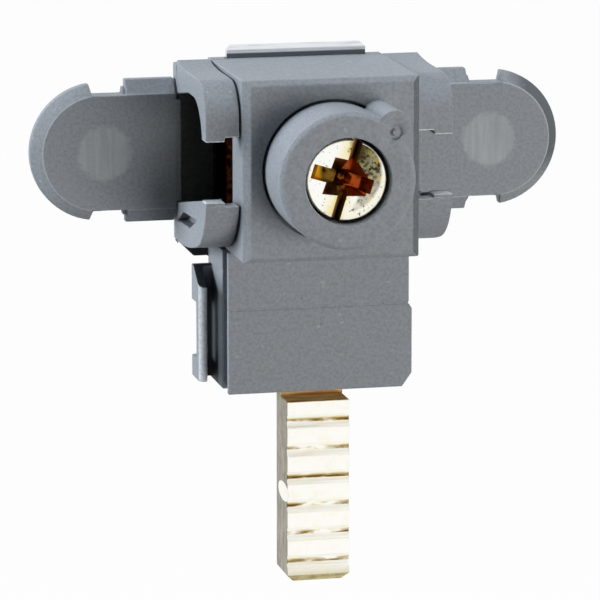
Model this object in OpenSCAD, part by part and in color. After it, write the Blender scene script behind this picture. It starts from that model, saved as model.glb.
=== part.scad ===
// Power terminal block: a moulded housing with a screw clamp, two side
// conductor entries with hinged flaps, and a ribbed plug-in pin below.
// Sizes in millimetres. X runs along the conductor, Y from front to back,
// Z up. The origin lies on the pin's axis at the housing's underside.

/* [Front box] */
// width of the front box along the conductor
box_w = 12.5; // [11.6:0.1:13.4]
// height of the front box
box_h = 12.7; // [12.2:0.1:14]
// height of the screw axis above the housing's underside
axis_z = 16.4; // [15:0.1:19]
// distance of the front face from the pin axis
front_y = 6.1; // [5.7:0.1:6.8]
// depth of the housing from its front face to its back
body_d = 12.2; // [11.6:0.1:14]
// bevel on the upper and lower front edges
top_bevel = 0.35; // [0.2:0.05:0.6]
// bevel on the upright front edges
side_bevel = 0.5; // [0.2:0.05:0.7]
// depth of the closed part of a box side, from the front face
side_d = 3.8; // [3:0.1:4.2]

/* [Collar] */
// outside diameter of the screw collar
collar_d = 9.5; // [8.6:0.1:10.4]
// height of the collar above the front face
collar_h = 4.8; // [3.8:0.1:6]
// diameter of the small boss beside the collar
lobe_d = 2.3; // [1.8:0.1:2.8]
// direction of the small boss, upwards from the right
lobe_turn = 48; // [30:1:60]
// depth of the ring groove round the collar's foot
foot_groove = 0.9; // [0.4:0.1:1.2]

/* [Hoods] */
// width over both hoods, one module of a distribution board
module_w = 17.5; // [16.8:0.1:18.6]
// height of a hood
hood_h = 12.2; // [11.6:0.1:13]
// wall of a hood
hood_wall = 1.45; // [1.1:0.05:1.7]
// upper outer corner radius of a hood
hood_r_top = 2.6; // [2:0.1:3.6]
// lower outer corner radius of a hood
hood_r_low = 4.3; // [2.6:0.1:4.6]
// height of the slit between a hood's two fingers
slit_h = 4.2; // [3:0.1:5.2]

/* [Flaps] */
// length of a flap from its hinge to its tip
flap_l = 10.3; // [9.8:0.1:11.4]
// height of the raised field of a flap
flap_h = 8.2; // [7.4:0.1:8.8]
// width of the bevelled rim round the field
flap_rim = 0.8; // [0.5:0.05:1]
// thickness of a flap
flap_t = 1.5; // [1.2:0.1:1.9]
// diameter of the round dish in the field
dish_d = 3.9; // [2.6:0.1:5]

/* [Lower body] */
// width of the lower body
lower_w = 13; // [12.2:0.1:13.8]
// height of the pin cover up to its seam
cover_h = 5.95; // [4.8:0.05:6.6]
// distance of the pin cover's front from the pin axis
cover_y = 1.95; // [1.85:0.05:2.4]
// width of the groove between cover and rear shell
groove_w = 1.55; // [1:0.05:1.6]
// height of the side rail
rail_h = 7; // [6:0.1:8]

/* [Contact pin] */
// width of the pin
pin_w = 4.5; // [3.8:0.1:5.4]
// thickness of the pin from front to back
pin_t = 3.6; // [3:0.1:3.8]
// reach of the pin below the housing
pin_l = 13.9; // [11:0.1:18]
// number of cross grooves in the pin's front
grip_n = 6; // [3:1:8]
// depth of a cross groove
grip_depth = 0.2; // [0.1:0.05:0.3]
// thickness of the bar above the pin
bar_t = 1.2; // [0.9:0.05:1.5]

/* [Clamp] */
// nominal diameter of the clamp screw's thread
thread_d = 5; // [4:0.1:5.2]
// diameter of the screw head
head_d = 5.6; // [5.4:0.1:6.2]
// depth of the screw head below the collar rim when open
head_sink = 0.6; // [0.3:0.05:1]
// width of the screwdriver slot
slot_w = 1; // [0.8:0.1:1.4]
// height of the wire tunnel
tunnel_h = 8.7; // [7.6:0.1:9.2]
// thickness of the pressure plate
plate_t = 0.8; // [0.6:0.05:1.1]

/* [Hidden] */
$fn = 72;
// running gap between a moving piece and its neighbour
run_gap = 0.15;
// gap between two seated pieces
seat_gap = 0.1;
// gap seen as a seam between mouldings
seam_gap = 0.1;
// gap round the screw head
head_gap = 0.2;
// gap of the plain cylinders that stand for the screw thread
thread_gap = 0.06;
// overlap that welds the solids of one moulding
weld = 0.05;
// reach of a cutting tool past the face it cuts
past = 1;

// walls of the mouldings and of the clamp
shell_wall = 0.9;
face_wall = 2;
rear_wall = 1.2;
lower_wall = 1.2;
cage_front_t = 1.5;
cage_rear_t = 0.8;

// planes from front to back, measured from the pin axis
face_y = -front_y;
rim_y = face_y - collar_h;
hood_y = face_y + top_bevel + 0.4;
skirt_y = -cover_y;
split_y = seat_gap;
plate_back_y = split_y - groove_w;
back_y = face_y + body_d;
wall_y = back_y - rear_wall;
box_back_y = wall_y - seat_gap;
lower_back_y = wall_y + seat_gap;
flap_y = wall_y - flap_t / 3;

// box, chamber and collar
box_x = box_w / 2;
box_z0 = axis_z - box_h / 2;
box_z1 = axis_z + box_h / 2;
chamber_z = box_h / 2 - shell_wall;
chamber_y = face_y + face_wall;
chamber_x = box_x - shell_wall;
side_y = face_y + side_d;
collar_r = collar_d / 2;
collar_bore = head_d + 2 * head_gap;
collar_ease = 0.25;
groove_r = collar_r + head_gap;
lobe_r = collar_r + seat_gap;

// hoods
end_x = module_w / 2;
hood_x = box_x + run_gap;
hood_z = hood_h / 2;
hood_low_z = hood_z * 0.96;
hood_in_z = hood_z - hood_wall;
hood_in_y = hood_y + hood_wall - seat_gap;
hood_r_in = hood_r_top + 0.4;
lip_x = end_x - hood_wall + seat_gap;
lip_step = 0.3;
roof_fall = hood_wall * 0.45;
sill_z0 = axis_z - hood_low_z + hood_wall * 1.42;
sill_z1 = axis_z - slit_h / 2 - weld;
pocket_d = hood_wall * 0.55;
brow_h = 0.35;
brow_l = body_d * 0.38;
brow_r = (brow_l * brow_l + brow_h * brow_h) / (2 * brow_h);
// flat arc under the lower finger, which runs into its round corner
belly_turn = 15;
belly_y0 = hood_y + hood_r_low * (1 - sin(belly_turn));
belly_y1 = wall_y - hood_wall / 3;
belly_r = (belly_y1 - belly_y0) / sin(belly_turn);
belly_z = axis_z - hood_low_z + hood_r_low * (1 - cos(belly_turn)) + belly_r * cos(belly_turn);

// rear wall and locking plate
wall_drop = box_h * 0.106;
wall_z0 = box_z0 - wall_drop;
wall_z1 = axis_z + hood_z;
wall_cut = rear_wall;
lock_t = rear_wall * 0.46;
lock_y0 = wall_y + rear_wall / 4;
lock_x = box_x * 0.805;
lock_lip = box_x * 0.112;
lock_cut = box_x * 0.055;
lock_z0 = box_z0 + box_h * 0.067;
lock_z1 = box_z1 + box_h * 0.07;

// clamp cage
cage_x = box_x - seat_gap;
cage_front_x = chamber_x - seat_gap;
cage_side_y = side_y + seat_gap;
cage_z = chamber_z - seat_gap / 2;
cage_y0 = chamber_y + seat_gap;
cage_y1 = box_back_y;
tunnel_z = tunnel_h / 2;
tunnel_y0 = cage_y0 + cage_front_t;
jamb_y = cage_side_y + cage_rear_t;
bar_y1 = cage_y1 - cage_rear_t;
bar_y0 = bar_y1 - bar_t;
boss_d = thread_d + 2.6;
boss_t = face_wall / 2;

// screw and pressure plate, with the clamp open
head_y = rim_y + head_sink;
head_r = head_d / 2;
head_t = head_d * 0.34;
arm_l = head_d * 0.735;
arm_w = slot_w * 1.25;
recess_d = slot_w;
slot_turn = 17;
plate_y0 = tunnel_y0 + seat_gap;
plate_y1 = plate_y0 + plate_t;
plate_x = box_x * 0.736;
plate_z = tunnel_z - 2 * run_gap;
plate_cut = plate_t / 2;
spigot_d = thread_d * 0.56;
rivet_d = thread_d * 0.78;
rivet_t = plate_t * 0.375;

// lower body
lower_x = lower_w / 2;
plug_x = lower_x - groove_w * 0.4;
skirt_z0 = cover_h + seam_gap;
pad_t = 0.22;
pad_cut = 0.7;

// side rail on the left
rail_out = lower_w * 0.104;
rail_x = -lower_x - rail_out;
rail_t = rail_out * 0.45;
rail_y0 = wall_y - 3.2;
rail_y1 = wall_y - 0.6;
rail_web = (rail_y1 - rail_y0) * 0.25;
rail_z0 = 0.2;
rail_z1 = rail_h + rail_web * 2;
rail_strip = (rail_y1 - rail_y0) * 0.4;

// contact bar
pin_x = pin_w / 2;
pin_y = pin_t / 2;
pin_cut = 0.5;
neck_y0 = pin_y - bar_t;
ledge_z = -0.78;
neck_r = pin_t * 0.24;
neck_x = pin_x + neck_r;
bar_x = pin_w * 0.98;
jog_z0 = box_z0 - box_h * 0.287;
jog_z1 = jog_z0 + bar_t;
bar_z1 = axis_z + tunnel_z - run_gap;
grip_r = 0.62;
grip_z = -2.2;
grip_pitch = (pin_l * 0.89 + grip_z) / (grip_n - 1);

// flaps
hinge_x = end_x + run_gap;
flap_z = flap_h / 2;
tip_r = flap_z + flap_rim;
tip_x = hinge_x + flap_l - tip_r;
slope_t = flap_t * 0.53;
tab_x = hinge_x + flap_l * 0.34;
tab_z = flap_z + flap_rim * 1.25;
notch_x = tab_x + flap_l * 0.248;
notch_slant = flap_rim * 0.3;
dish_x = tip_x - flap_rim * 0.4;
dish_depth = flap_t / 10;
dish_r = (dish_d * dish_d / 4 + dish_depth * dish_depth) / (2 * dish_depth);

// a block between two corners
module block(x0, x1, y0, y1, z0, z1) {
  translate([x0, y0, z0]) cube([x1 - x0, y1 - y0, z1 - z0]);
}

// a round bar along X
module bar_along_x(r, x0, x1, y, z) {
  translate([x0, y, z]) rotate([0, 90, 0]) cylinder(r = r, h = x1 - x0);
}

// a round bar along Y, tapered if r1 is given
module bar_along_y(r, y0, y1, x = 0, z = axis_z, r1 = -1) {
  translate([x, y0, z]) rotate([-90, 0, 0]) cylinder(r1 = r, r2 = r1 < 0 ? r : r1, h = y1 - y0);
}

// a side profile of Y and Z pairs, extruded along X
module side_prism(pts, x0, x1) {
  translate([x0, 0, 0]) rotate([90, 0, 90]) linear_extrude(x1 - x0) polygon(pts);
}

// a front profile of X and Z pairs, extruded along Y
module front_prism(pts, y0, y1) {
  translate([0, y1, 0]) rotate([90, 0, 0]) linear_extrude(y1 - y0) polygon(pts);
}

// a plan of X and Y pairs, extruded along Z
module plan_prism(pts, z0, z1) {
  translate([0, 0, z0]) linear_extrude(z1 - z0) polygon(pts);
}

// a radius and depth profile turned round the screw axis
module turned(pts, y = 0) {
  translate([0, y, axis_z]) rotate([-90, 0, 0]) rotate_extrude() polygon(pts);
}

// the front box as a bevelled block
module box_form() {
  s = side_bevel;
  t = top_bevel;
  intersection() {
    plan_prism([[-box_x + s, face_y], [box_x - s, face_y], [box_x, face_y + s], [box_x, box_back_y],
                [-box_x, box_back_y], [-box_x, face_y + s]], box_z0, box_z1);
    side_prism([[face_y, box_z0 + t], [face_y + t, box_z0], [box_back_y, box_z0], [box_back_y, box_z1],
                [face_y + t, box_z1], [face_y, box_z1 - t]], -box_x, box_x);
  }
}

// the screw collar with its eased rim and the small boss beside it
module collar_form() {
  foot = collar_h + weld;
  turned([[0, 0], [collar_r - collar_ease, 0], [collar_r, collar_ease], [collar_r, foot], [0, foot]], rim_y);
  bar_along_y(lobe_d / 2, rim_y + seat_gap, face_y + weld,
              lobe_r * cos(lobe_turn), axis_z + lobe_r * sin(lobe_turn));
}

module front_shell() {
  color("#8d9399") difference() {
    union() {
      box_form();
      collar_form();
      block(-lower_x, lower_x, skirt_y, plate_back_y, skirt_z0, box_z0 + weld);
      block(-plug_x, plug_x, skirt_y, 0, skirt_z0, box_z0 + weld);
    }
    // ring groove round the collar's foot
    turned([[collar_r, 0], [groove_r, 0], [groove_r, foot_groove], [collar_r, foot_groove]], face_y);
    // bore for the screw head and seat of the cage's boss
    bar_along_y(collar_bore / 2, rim_y - past, chamber_y + past);
    bar_along_y(boss_d / 2 + seat_gap, cage_y0 - boss_t - seat_gap, chamber_y + past);
    // clamp chamber, open to the back and, behind the closed part, to both sides
    block(-chamber_x, chamber_x, chamber_y, side_y + weld, axis_z - chamber_z, axis_z + chamber_z);
    block(-box_x - past, box_x + past, side_y, box_back_y + past, axis_z - chamber_z, axis_z + chamber_z);
    // passage of the contact bar
    block(-bar_x - seat_gap, bar_x + seat_gap, bar_y0 - seat_gap, bar_y1 + seat_gap, box_z0 - past, axis_z);
    // hollow behind the skirt
    block(-plug_x + lower_wall, plug_x - lower_wall, skirt_y + shell_wall, past,
          skirt_z0 - past, box_z0 - shell_wall);
  }
}

// upper or lower half of a D-shaped hood profile between two planes of X
module hood_half(s, x0, x1, y, z, r) {
  translate([0, 0, axis_z]) mirror([0, 0, s]) {
    block(x0, x1, y + r, wall_y + weld, -weld, z);
    block(x0, x1, y, y + r + weld, -weld, z - r);
    bar_along_x(r, x0, x1, y + r, z - r);
  }
}

// the hollow of a hood and the wire opening in its end wall
module hood_hollow() {
  roof = axis_z + hood_in_z;
  hood_half(0, hood_x - past, lip_x, hood_in_y, hood_in_z, hood_r_top - hood_wall / 2);
  hood_half(1, hood_x - past, lip_x, hood_in_y, hood_low_z - hood_wall, hood_r_low - hood_wall);
  // the opening's roof falls to the back and its sill rises to the front
  difference() {
    hood_half(0, lip_x - weld, end_x + past, hood_in_y, hood_in_z, hood_r_in);
    side_prism([[wall_y + past, roof - roof_fall * 1.2], [wall_y + past, roof + past],
                [hood_in_y + hood_r_in, roof + past], [hood_in_y + hood_r_in, roof + weld],
                [wall_y - flap_z, roof]], lip_x - past, end_x + 2 * past);
  }
  side_prism([[hood_in_y, axis_z + weld], [hood_in_y, sill_z1], [wall_y + weld, sill_z0],
              [wall_y + weld, axis_z + weld]], lip_x - weld, end_x + past);
}

// one hood on the right; the gap between its fingers is open to the front
module hood_form() {
  top = axis_z + hood_z;
  low = axis_z - hood_low_z;
  difference() {
    union() {
      hood_half(0, hood_x, end_x, hood_y, hood_z, hood_r_top);
      hood_half(1, hood_x, end_x, hood_y, hood_low_z, hood_r_low);
      // raised brow along the rear of the roof
      difference() {
        block(hood_x, end_x, wall_y - brow_l, wall_y - run_gap, top - weld, top + brow_h);
        bar_along_x(brow_r, hood_x - past, end_x + past, wall_y - brow_l, top + brow_r);
      }
      intersection() {
        block(hood_x, end_x, belly_y0, wall_y + weld, low - past, low + hood_wall / 2);
        bar_along_x(belly_r, hood_x, end_x, belly_y1, belly_z);
      }
    }
    hood_hollow();
    // slit between the fingers, with a stepped lip along the end face
    block(hood_x - past, end_x + past, hood_y - past, hood_in_y + hood_wall,
          axis_z - slit_h / 2, axis_z + slit_h / 2);
    block(hood_x - past, lip_x, hood_y - past, hood_in_y + hood_wall,
          axis_z - slit_h / 2 - lip_step, axis_z + slit_h / 2 + lip_step);
    // slanted catch pocket in the lower end face
    side_prism([[wall_y - 0.1, low + hood_wall * 0.57], [wall_y - 4.4, low + hood_wall * 0.69],
                [wall_y - 6.9, low + hood_wall * 1.35], [wall_y - 2.1, low + hood_wall * 1.2]],
               end_x - pocket_d, end_x + past);
    // fine groove between the brow and the rear wall
    block(end_x - 0.35, end_x + past, wall_y - run_gap, wall_y, top - past, top + past);
  }
}

// the rail on the left with its slanted head
module rail_form() {
  x1 = rail_x + rail_t;
  y2 = rail_y1 - rail_web;
  difference() {
    union() {
      side_prism([[rail_y0, rail_z0], [rail_y1, rail_z0], [rail_y1, rail_z1], [y2, rail_z1],
                  [rail_y0, rail_h]], rail_x, x1);
      block(x1 - weld, -lower_x + weld, y2, rail_y1, rail_z0, rail_z1);
    }
    // long notch behind the front strip
    block(rail_x - past, x1 + weld, rail_y0 + rail_strip, rail_y1 + past, rail_h * 0.25, rail_h * 0.82);
  }
}

module rear_shell() {
  color("#878d93") difference() {
    union() {
      // rear wall behind both hoods
      front_prism([[-end_x + wall_cut, wall_z0], [end_x - wall_cut, wall_z0], [end_x, wall_z0 + wall_cut],
                   [end_x, wall_z1], [-end_x, wall_z1], [-end_x, wall_z0 + wall_cut]], wall_y, back_y);
      block(-box_x, box_x, wall_y, back_y, axis_z, box_z1);
      for (s = [0, 1]) mirror([s, 0, 0]) hood_form();
      block(-lower_x, lower_x, split_y, lower_back_y, 0, box_z0 - seat_gap);
      rail_form();
    }
    // hollow for the contact bar and its way out below
    block(-lower_x + lower_wall, lower_x - lower_wall, split_y - past, bar_y1 + seat_gap,
          lower_wall, box_z0 + past);
    block(-pin_x - seat_gap, neck_x + seat_gap, split_y - past, pin_y + seat_gap, -past, lower_wall + past);
    // slot of the locking plate, open at the top and to the back
    block(-lock_x - seat_gap, lock_x + seat_gap, lock_y0, lock_y0 + lock_t + seat_gap,
          lock_z0 - seat_gap, wall_z1 + past);
    block(-lock_x + lock_lip, lock_x - lock_lip, lock_y0, back_y + past, lock_z0 + lock_lip, wall_z1 + past);
  }
}

module pin_cover() {
  pad_x = lower_x + pad_t;
  color("#8a9096") difference() {
    union() {
      front_prism([[-lower_x, 0], [pad_x - pad_cut, 0], [pad_x, pad_cut * 1.4], [pad_x, cover_h - pad_cut / 2],
                   [lower_x, cover_h], [-lower_x, cover_h]], skirt_y, plate_back_y);
      front_prism([[-plug_x, 0], [plug_x, 0], [plug_x, cover_h], [-plug_x, cover_h]], skirt_y, 0);
    }
    block(-plug_x + lower_wall, plug_x - lower_wall, skirt_y + shell_wall, past, lower_wall, cover_h + past);
  }
}

module locking_plate() {
  y0 = lock_y0 + seat_gap / 2;
  color("#d5d8da")
    front_prism([[-lock_x, lock_z0], [lock_x, lock_z0], [lock_x, lock_z1 - lock_cut],
                 [lock_x - lock_cut, lock_z1], [-lock_x + lock_cut, lock_z1], [-lock_x, lock_z1 - lock_cut]],
                y0, y0 + lock_t);
}

// a flap on the right, spread open
module flap_form() {
  y0 = flap_y;
  y1 = flap_y + slope_t;
  y2 = flap_y + flap_t;
  difference() {
    union() {
      // round end
      bar_along_y(flap_z, y0, y1, tip_x, axis_z, tip_r);
      bar_along_y(tip_r, y1 - 0.001, y2, tip_x);
      // straight field from the hinge to the round end
      block(hinge_x, tip_x, y0, y2, axis_z - flap_z, axis_z + flap_z);
      // broad tab beside the hinge, bevelled to the field
      side_prism([[y0, axis_z - flap_z], [y0, axis_z + flap_z], [y1, axis_z + tab_z], [y2, axis_z + tab_z],
                  [y2, axis_z - tab_z], [y1, axis_z - tab_z]], hinge_x, tab_x);
    }
    // notches that break the rim above and below
    for (s = [0, 1]) translate([0, 0, axis_z]) mirror([0, 0, s])
      front_prism([[tab_x + notch_slant, flap_z], [notch_x - notch_slant / 2, flap_z],
                   [notch_x + notch_slant, tip_r + past], [tab_x, tip_r + past]], y0 - past, y2 + past);
    // shallow round dish, part of a ball
    translate([dish_x, y0 + dish_depth - dish_r, axis_z]) sphere(dish_r);
  }
}

module left_flap() {
  color("#9aa0a6") mirror([1, 0, 0]) flap_form();
}

module right_flap() {
  color("#9aa0a6") flap_form();
}

module clamp_cage() {
  color("#c29a4b") difference() {
    union() {
      block(-cage_front_x, cage_front_x, cage_y0, cage_side_y + weld, axis_z - cage_z, axis_z + cage_z);
      block(-cage_x, cage_x, cage_side_y, cage_y1, axis_z - cage_z, axis_z + cage_z);
      bar_along_y(boss_d / 2, cage_y0 - boss_t, cage_y0 + weld);
    }
    // wire tunnel, wider between the jambs of its two ends
    block(-cage_front_x, cage_front_x, tunnel_y0, bar_y1, axis_z - tunnel_z, axis_z + tunnel_z);
    block(-cage_x - past, cage_x + past, jamb_y, bar_y1, axis_z - tunnel_z, axis_z + tunnel_z);
    // core of the screw thread
    bar_along_y(thread_d / 2 + thread_gap, cage_y0 - boss_t - past, tunnel_y0 + past);
    // passage of the contact bar
    block(-bar_x - seat_gap / 2, bar_x + seat_gap / 2, bar_y0 - seat_gap / 2, bar_y1, 0, axis_z);
  }
}

// the pin's outline seen along one axis, with a bevel on either side of the tip
function pin_outline(half, cut0, cut1) = [[-half, ledge_z], [-half, cut0 - pin_l], [cut0 - half, -pin_l],
                                          [half - cut1, -pin_l], [half, cut1 - pin_l], [half, ledge_z]];

module contact_bar() {
  color("#c9a253") difference() {
    union() {
      // pin with bevelled tip
      intersection() {
        front_prism(pin_outline(pin_x, pin_cut, pin_cut), -pin_y, pin_y);
        side_prism(pin_outline(pin_y, pin_cut, pin_cut / 4), -pin_x, pin_x);
      }
      // neck, then the bar jogged back and up behind the tunnel
      side_prism([[neck_y0, ledge_z - weld], [pin_y, ledge_z - weld], [pin_y, jog_z0], [bar_y1, jog_z0],
                  [bar_y1, jog_z1], [neck_y0, jog_z1]], -pin_x, neck_x);
      block(-bar_x, bar_x, bar_y0, bar_y1, jog_z0, bar_z1);
    }
    // cross grooves of the front
    for (i = [0 : grip_n - 1])
      bar_along_x(grip_r, -pin_x - past, pin_x + past, -pin_y - grip_r + grip_depth, grip_z - i * grip_pitch);
    // hollow corner under the neck's wing
    bar_along_y(neck_r, neck_y0 - past, pin_y + past, neck_x, ledge_z);
  }
}

module pressure_plate() {
  x = plate_x - plate_cut;
  z = plate_z - plate_cut;
  color("#b9b29c") difference() {
    translate([0, 0, axis_z])
      front_prism([[-x, -plate_z], [x, -plate_z], [plate_x, -z], [plate_x, z],
                   [x, plate_z], [-x, plate_z], [-plate_x, z], [-plate_x, -z]], plate_y0, plate_y1);
    bar_along_y(spigot_d / 2 + run_gap, plate_y0 - past, plate_y1 + past);
    bar_along_y(rivet_d / 2 + run_gap, plate_y1 - rivet_t - seat_gap, plate_y1 + past);
  }
}

module clamp_screw() {
  color("#d0b170") difference() {
    turned([[0, head_y], [head_r - collar_ease, head_y], [head_r, head_y + collar_ease],
            [head_r, head_y + head_t], [thread_d / 2, head_y + head_t], [thread_d / 2, tunnel_y0],
            [spigot_d / 2, tunnel_y0], [spigot_d / 2, plate_y1 - rivet_t], [rivet_d / 2, plate_y1 - rivet_t],
            [rivet_d / 2, plate_y1], [0, plate_y1]]);
    // slot and cross recess, turned a little
    translate([0, head_y, axis_z]) rotate([0, slot_turn, 0]) {
      block(-slot_w / 2, slot_w / 2, -past, recess_d, -head_r - past, head_r + past);
      block(-arm_l / 2, arm_l / 2, -past, recess_d, -arm_w / 2, arm_w / 2);
    }
  }
}

front_shell();
rear_shell();
pin_cover();
locking_plate();
left_flap();
right_flap();
clamp_cage();
contact_bar();
pressure_plate();
clamp_screw();
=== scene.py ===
"""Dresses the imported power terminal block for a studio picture.

Each sub-assembly is a class that keeps its finishes and sizes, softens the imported
solids or models a new piece over them, and dresses the result. Lengths are in
millimetres in the fields and in metres in the meshes. A test of a face takes its
centre, in millimetres, and its normal; a test of an edge takes its two ends.
"""

import logging
import math
from collections.abc import Callable, Iterator
from contextlib import contextmanager
from dataclasses import dataclass
from enum import Enum
from functools import cached_property, reduce

import bpy
from mathutils import Matrix, Vector


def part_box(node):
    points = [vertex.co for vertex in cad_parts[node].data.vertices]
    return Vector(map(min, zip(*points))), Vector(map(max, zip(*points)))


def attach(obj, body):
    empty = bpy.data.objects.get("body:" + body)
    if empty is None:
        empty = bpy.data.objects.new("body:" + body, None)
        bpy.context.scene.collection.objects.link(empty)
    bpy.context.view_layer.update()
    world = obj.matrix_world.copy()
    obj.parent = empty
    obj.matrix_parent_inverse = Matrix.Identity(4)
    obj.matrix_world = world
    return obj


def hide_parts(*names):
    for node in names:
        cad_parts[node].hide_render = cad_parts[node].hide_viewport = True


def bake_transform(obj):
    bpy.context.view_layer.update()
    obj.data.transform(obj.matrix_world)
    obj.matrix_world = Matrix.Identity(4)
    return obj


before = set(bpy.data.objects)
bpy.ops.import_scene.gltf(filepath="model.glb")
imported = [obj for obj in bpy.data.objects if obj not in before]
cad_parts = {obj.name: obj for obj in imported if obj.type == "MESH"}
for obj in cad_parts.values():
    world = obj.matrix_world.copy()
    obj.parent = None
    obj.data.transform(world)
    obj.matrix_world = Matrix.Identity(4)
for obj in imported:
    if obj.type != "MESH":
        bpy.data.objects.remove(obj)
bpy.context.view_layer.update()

LOG = logging.getLogger("terminal_block")
Colour = tuple[float, float, float, float]
Triple = tuple[float, float, float]
Span = tuple[float, float]
Object = bpy.types.Object
Node = bpy.types.Node
Socket = bpy.types.NodeSocket
Inputs = dict[str | int, object]
Test = Callable[[Vector, Vector], bool]

MM = 0.001
# height of the clamp's axis; how far out each flap's dish lies, and its radius
AXIS_Z = 16.4
DISH_X = 13.98
DISH_R = 1.95
# places closer than this are the same place
NEAR = 0.02
# points closer than this are merged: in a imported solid, and after a rounding
MERGE_PACKED = 0.003
MERGE_ROUNDED = 0.0005
# how much of an axis the normal of a face has that is square to the axis
SQUARE = 0.9
# finer layers of a noise
PLAIN, FINE, FINER, FINEST = 1.0, 2.0, 3.0, 4.0
ANY: Span = (-math.inf, math.inf)
UNIT: Span = (0.0, 1.0)
X: Triple = (1.0, 0.0, 0.0)
Y: Triple = (0.0, 1.0, 0.0)
Z: Triple = (0.0, 0.0, 1.0)
ORIGIN: Triple = (0.0, 0.0, 0.0)
ON_AXIS: Triple = (0.0, 0.0, AXIS_Z)
# the direction across the screw's slot
FROM_SLOT: Triple = (0.956, 0.0, -0.292)
# the turn that lays a shape's own Z axis along Y
ALONG_Y: Triple = (-math.pi / 2, 0.0, 0.0)


class Body(Enum):
    """The moving bodies that a piece can ride on."""

    HOUSING = "housing"
    LEFT_FLAP = "left_flap"
    RIGHT_FLAP = "right_flap"
    PLATE = "pressure_plate"
    SCREW = "clamp_screw"


class Slot(Enum):
    """The record's material slots."""

    HOUSING = "housing_plastic"
    FLAP = "flap_plastic"
    STEEL = "plated_steel"
    CLAMP = "clamp_brass"
    PIN = "pin_brass"
    SCREW = "screw_brass"


class Side(Enum):
    """Left or right of the housing, as the sign of X."""

    LEFT = -1
    RIGHT = 1


def linear(hex_colour: str) -> Colour:
    """Turns an sRGB hex colour to linear light by the standard's curve.

    Args:
        hex_colour: a colour such as "#8f949a".

    Returns:
        Red, green, blue and alpha in linear light.
    """
    parts = [int(hex_colour[i : i + 2], 16) / 255 for i in (1, 3, 5)]
    red, green, blue = (p / 12.92 if p <= 0.04045 else ((p + 0.055) / 1.055) ** 2.4 for p in parts)
    return red, green, blue, 1.0


def over(low: float) -> Span:
    """Gives the span above a value."""
    return low, math.inf


def under(high: float) -> Span:
    """Gives the span below a value."""
    return -math.inf, high


def shifted(span: Span, by: float) -> Span:
    """Moves a span along."""
    return by + span[0], by + span[1]


@dataclass(frozen=True)
class Layer:
    """A layer of noise: its features' size, its detail, and the span of it that shows onto another."""

    size: float | Triple
    detail: float
    span: Span = UNIT
    onto: Span = UNIT


@dataclass(frozen=True)
class Fade:
    """A change along a direction, over a span that is measured from a centre."""

    axis: Triple
    span: Span
    onto: Span = UNIT
    centre: Triple = ORIGIN


@dataclass(frozen=True)
class Region:
    """A test of faces by where they lie and how their normals lean."""

    x: Span = ANY
    y: Span = ANY
    z: Span = ANY
    lean_x: Span = ANY
    lean_y: Span = ANY
    lean_z: Span = ANY

    def __call__(self, c: Vector, n: Vector) -> bool:
        """Tells whether a face belongs to the region."""
        spans = (self.x, self.y, self.z, self.lean_x, self.lean_y, self.lean_z)
        return all(low < part < high for part, (low, high) in zip((*c, *n), spans))


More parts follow.
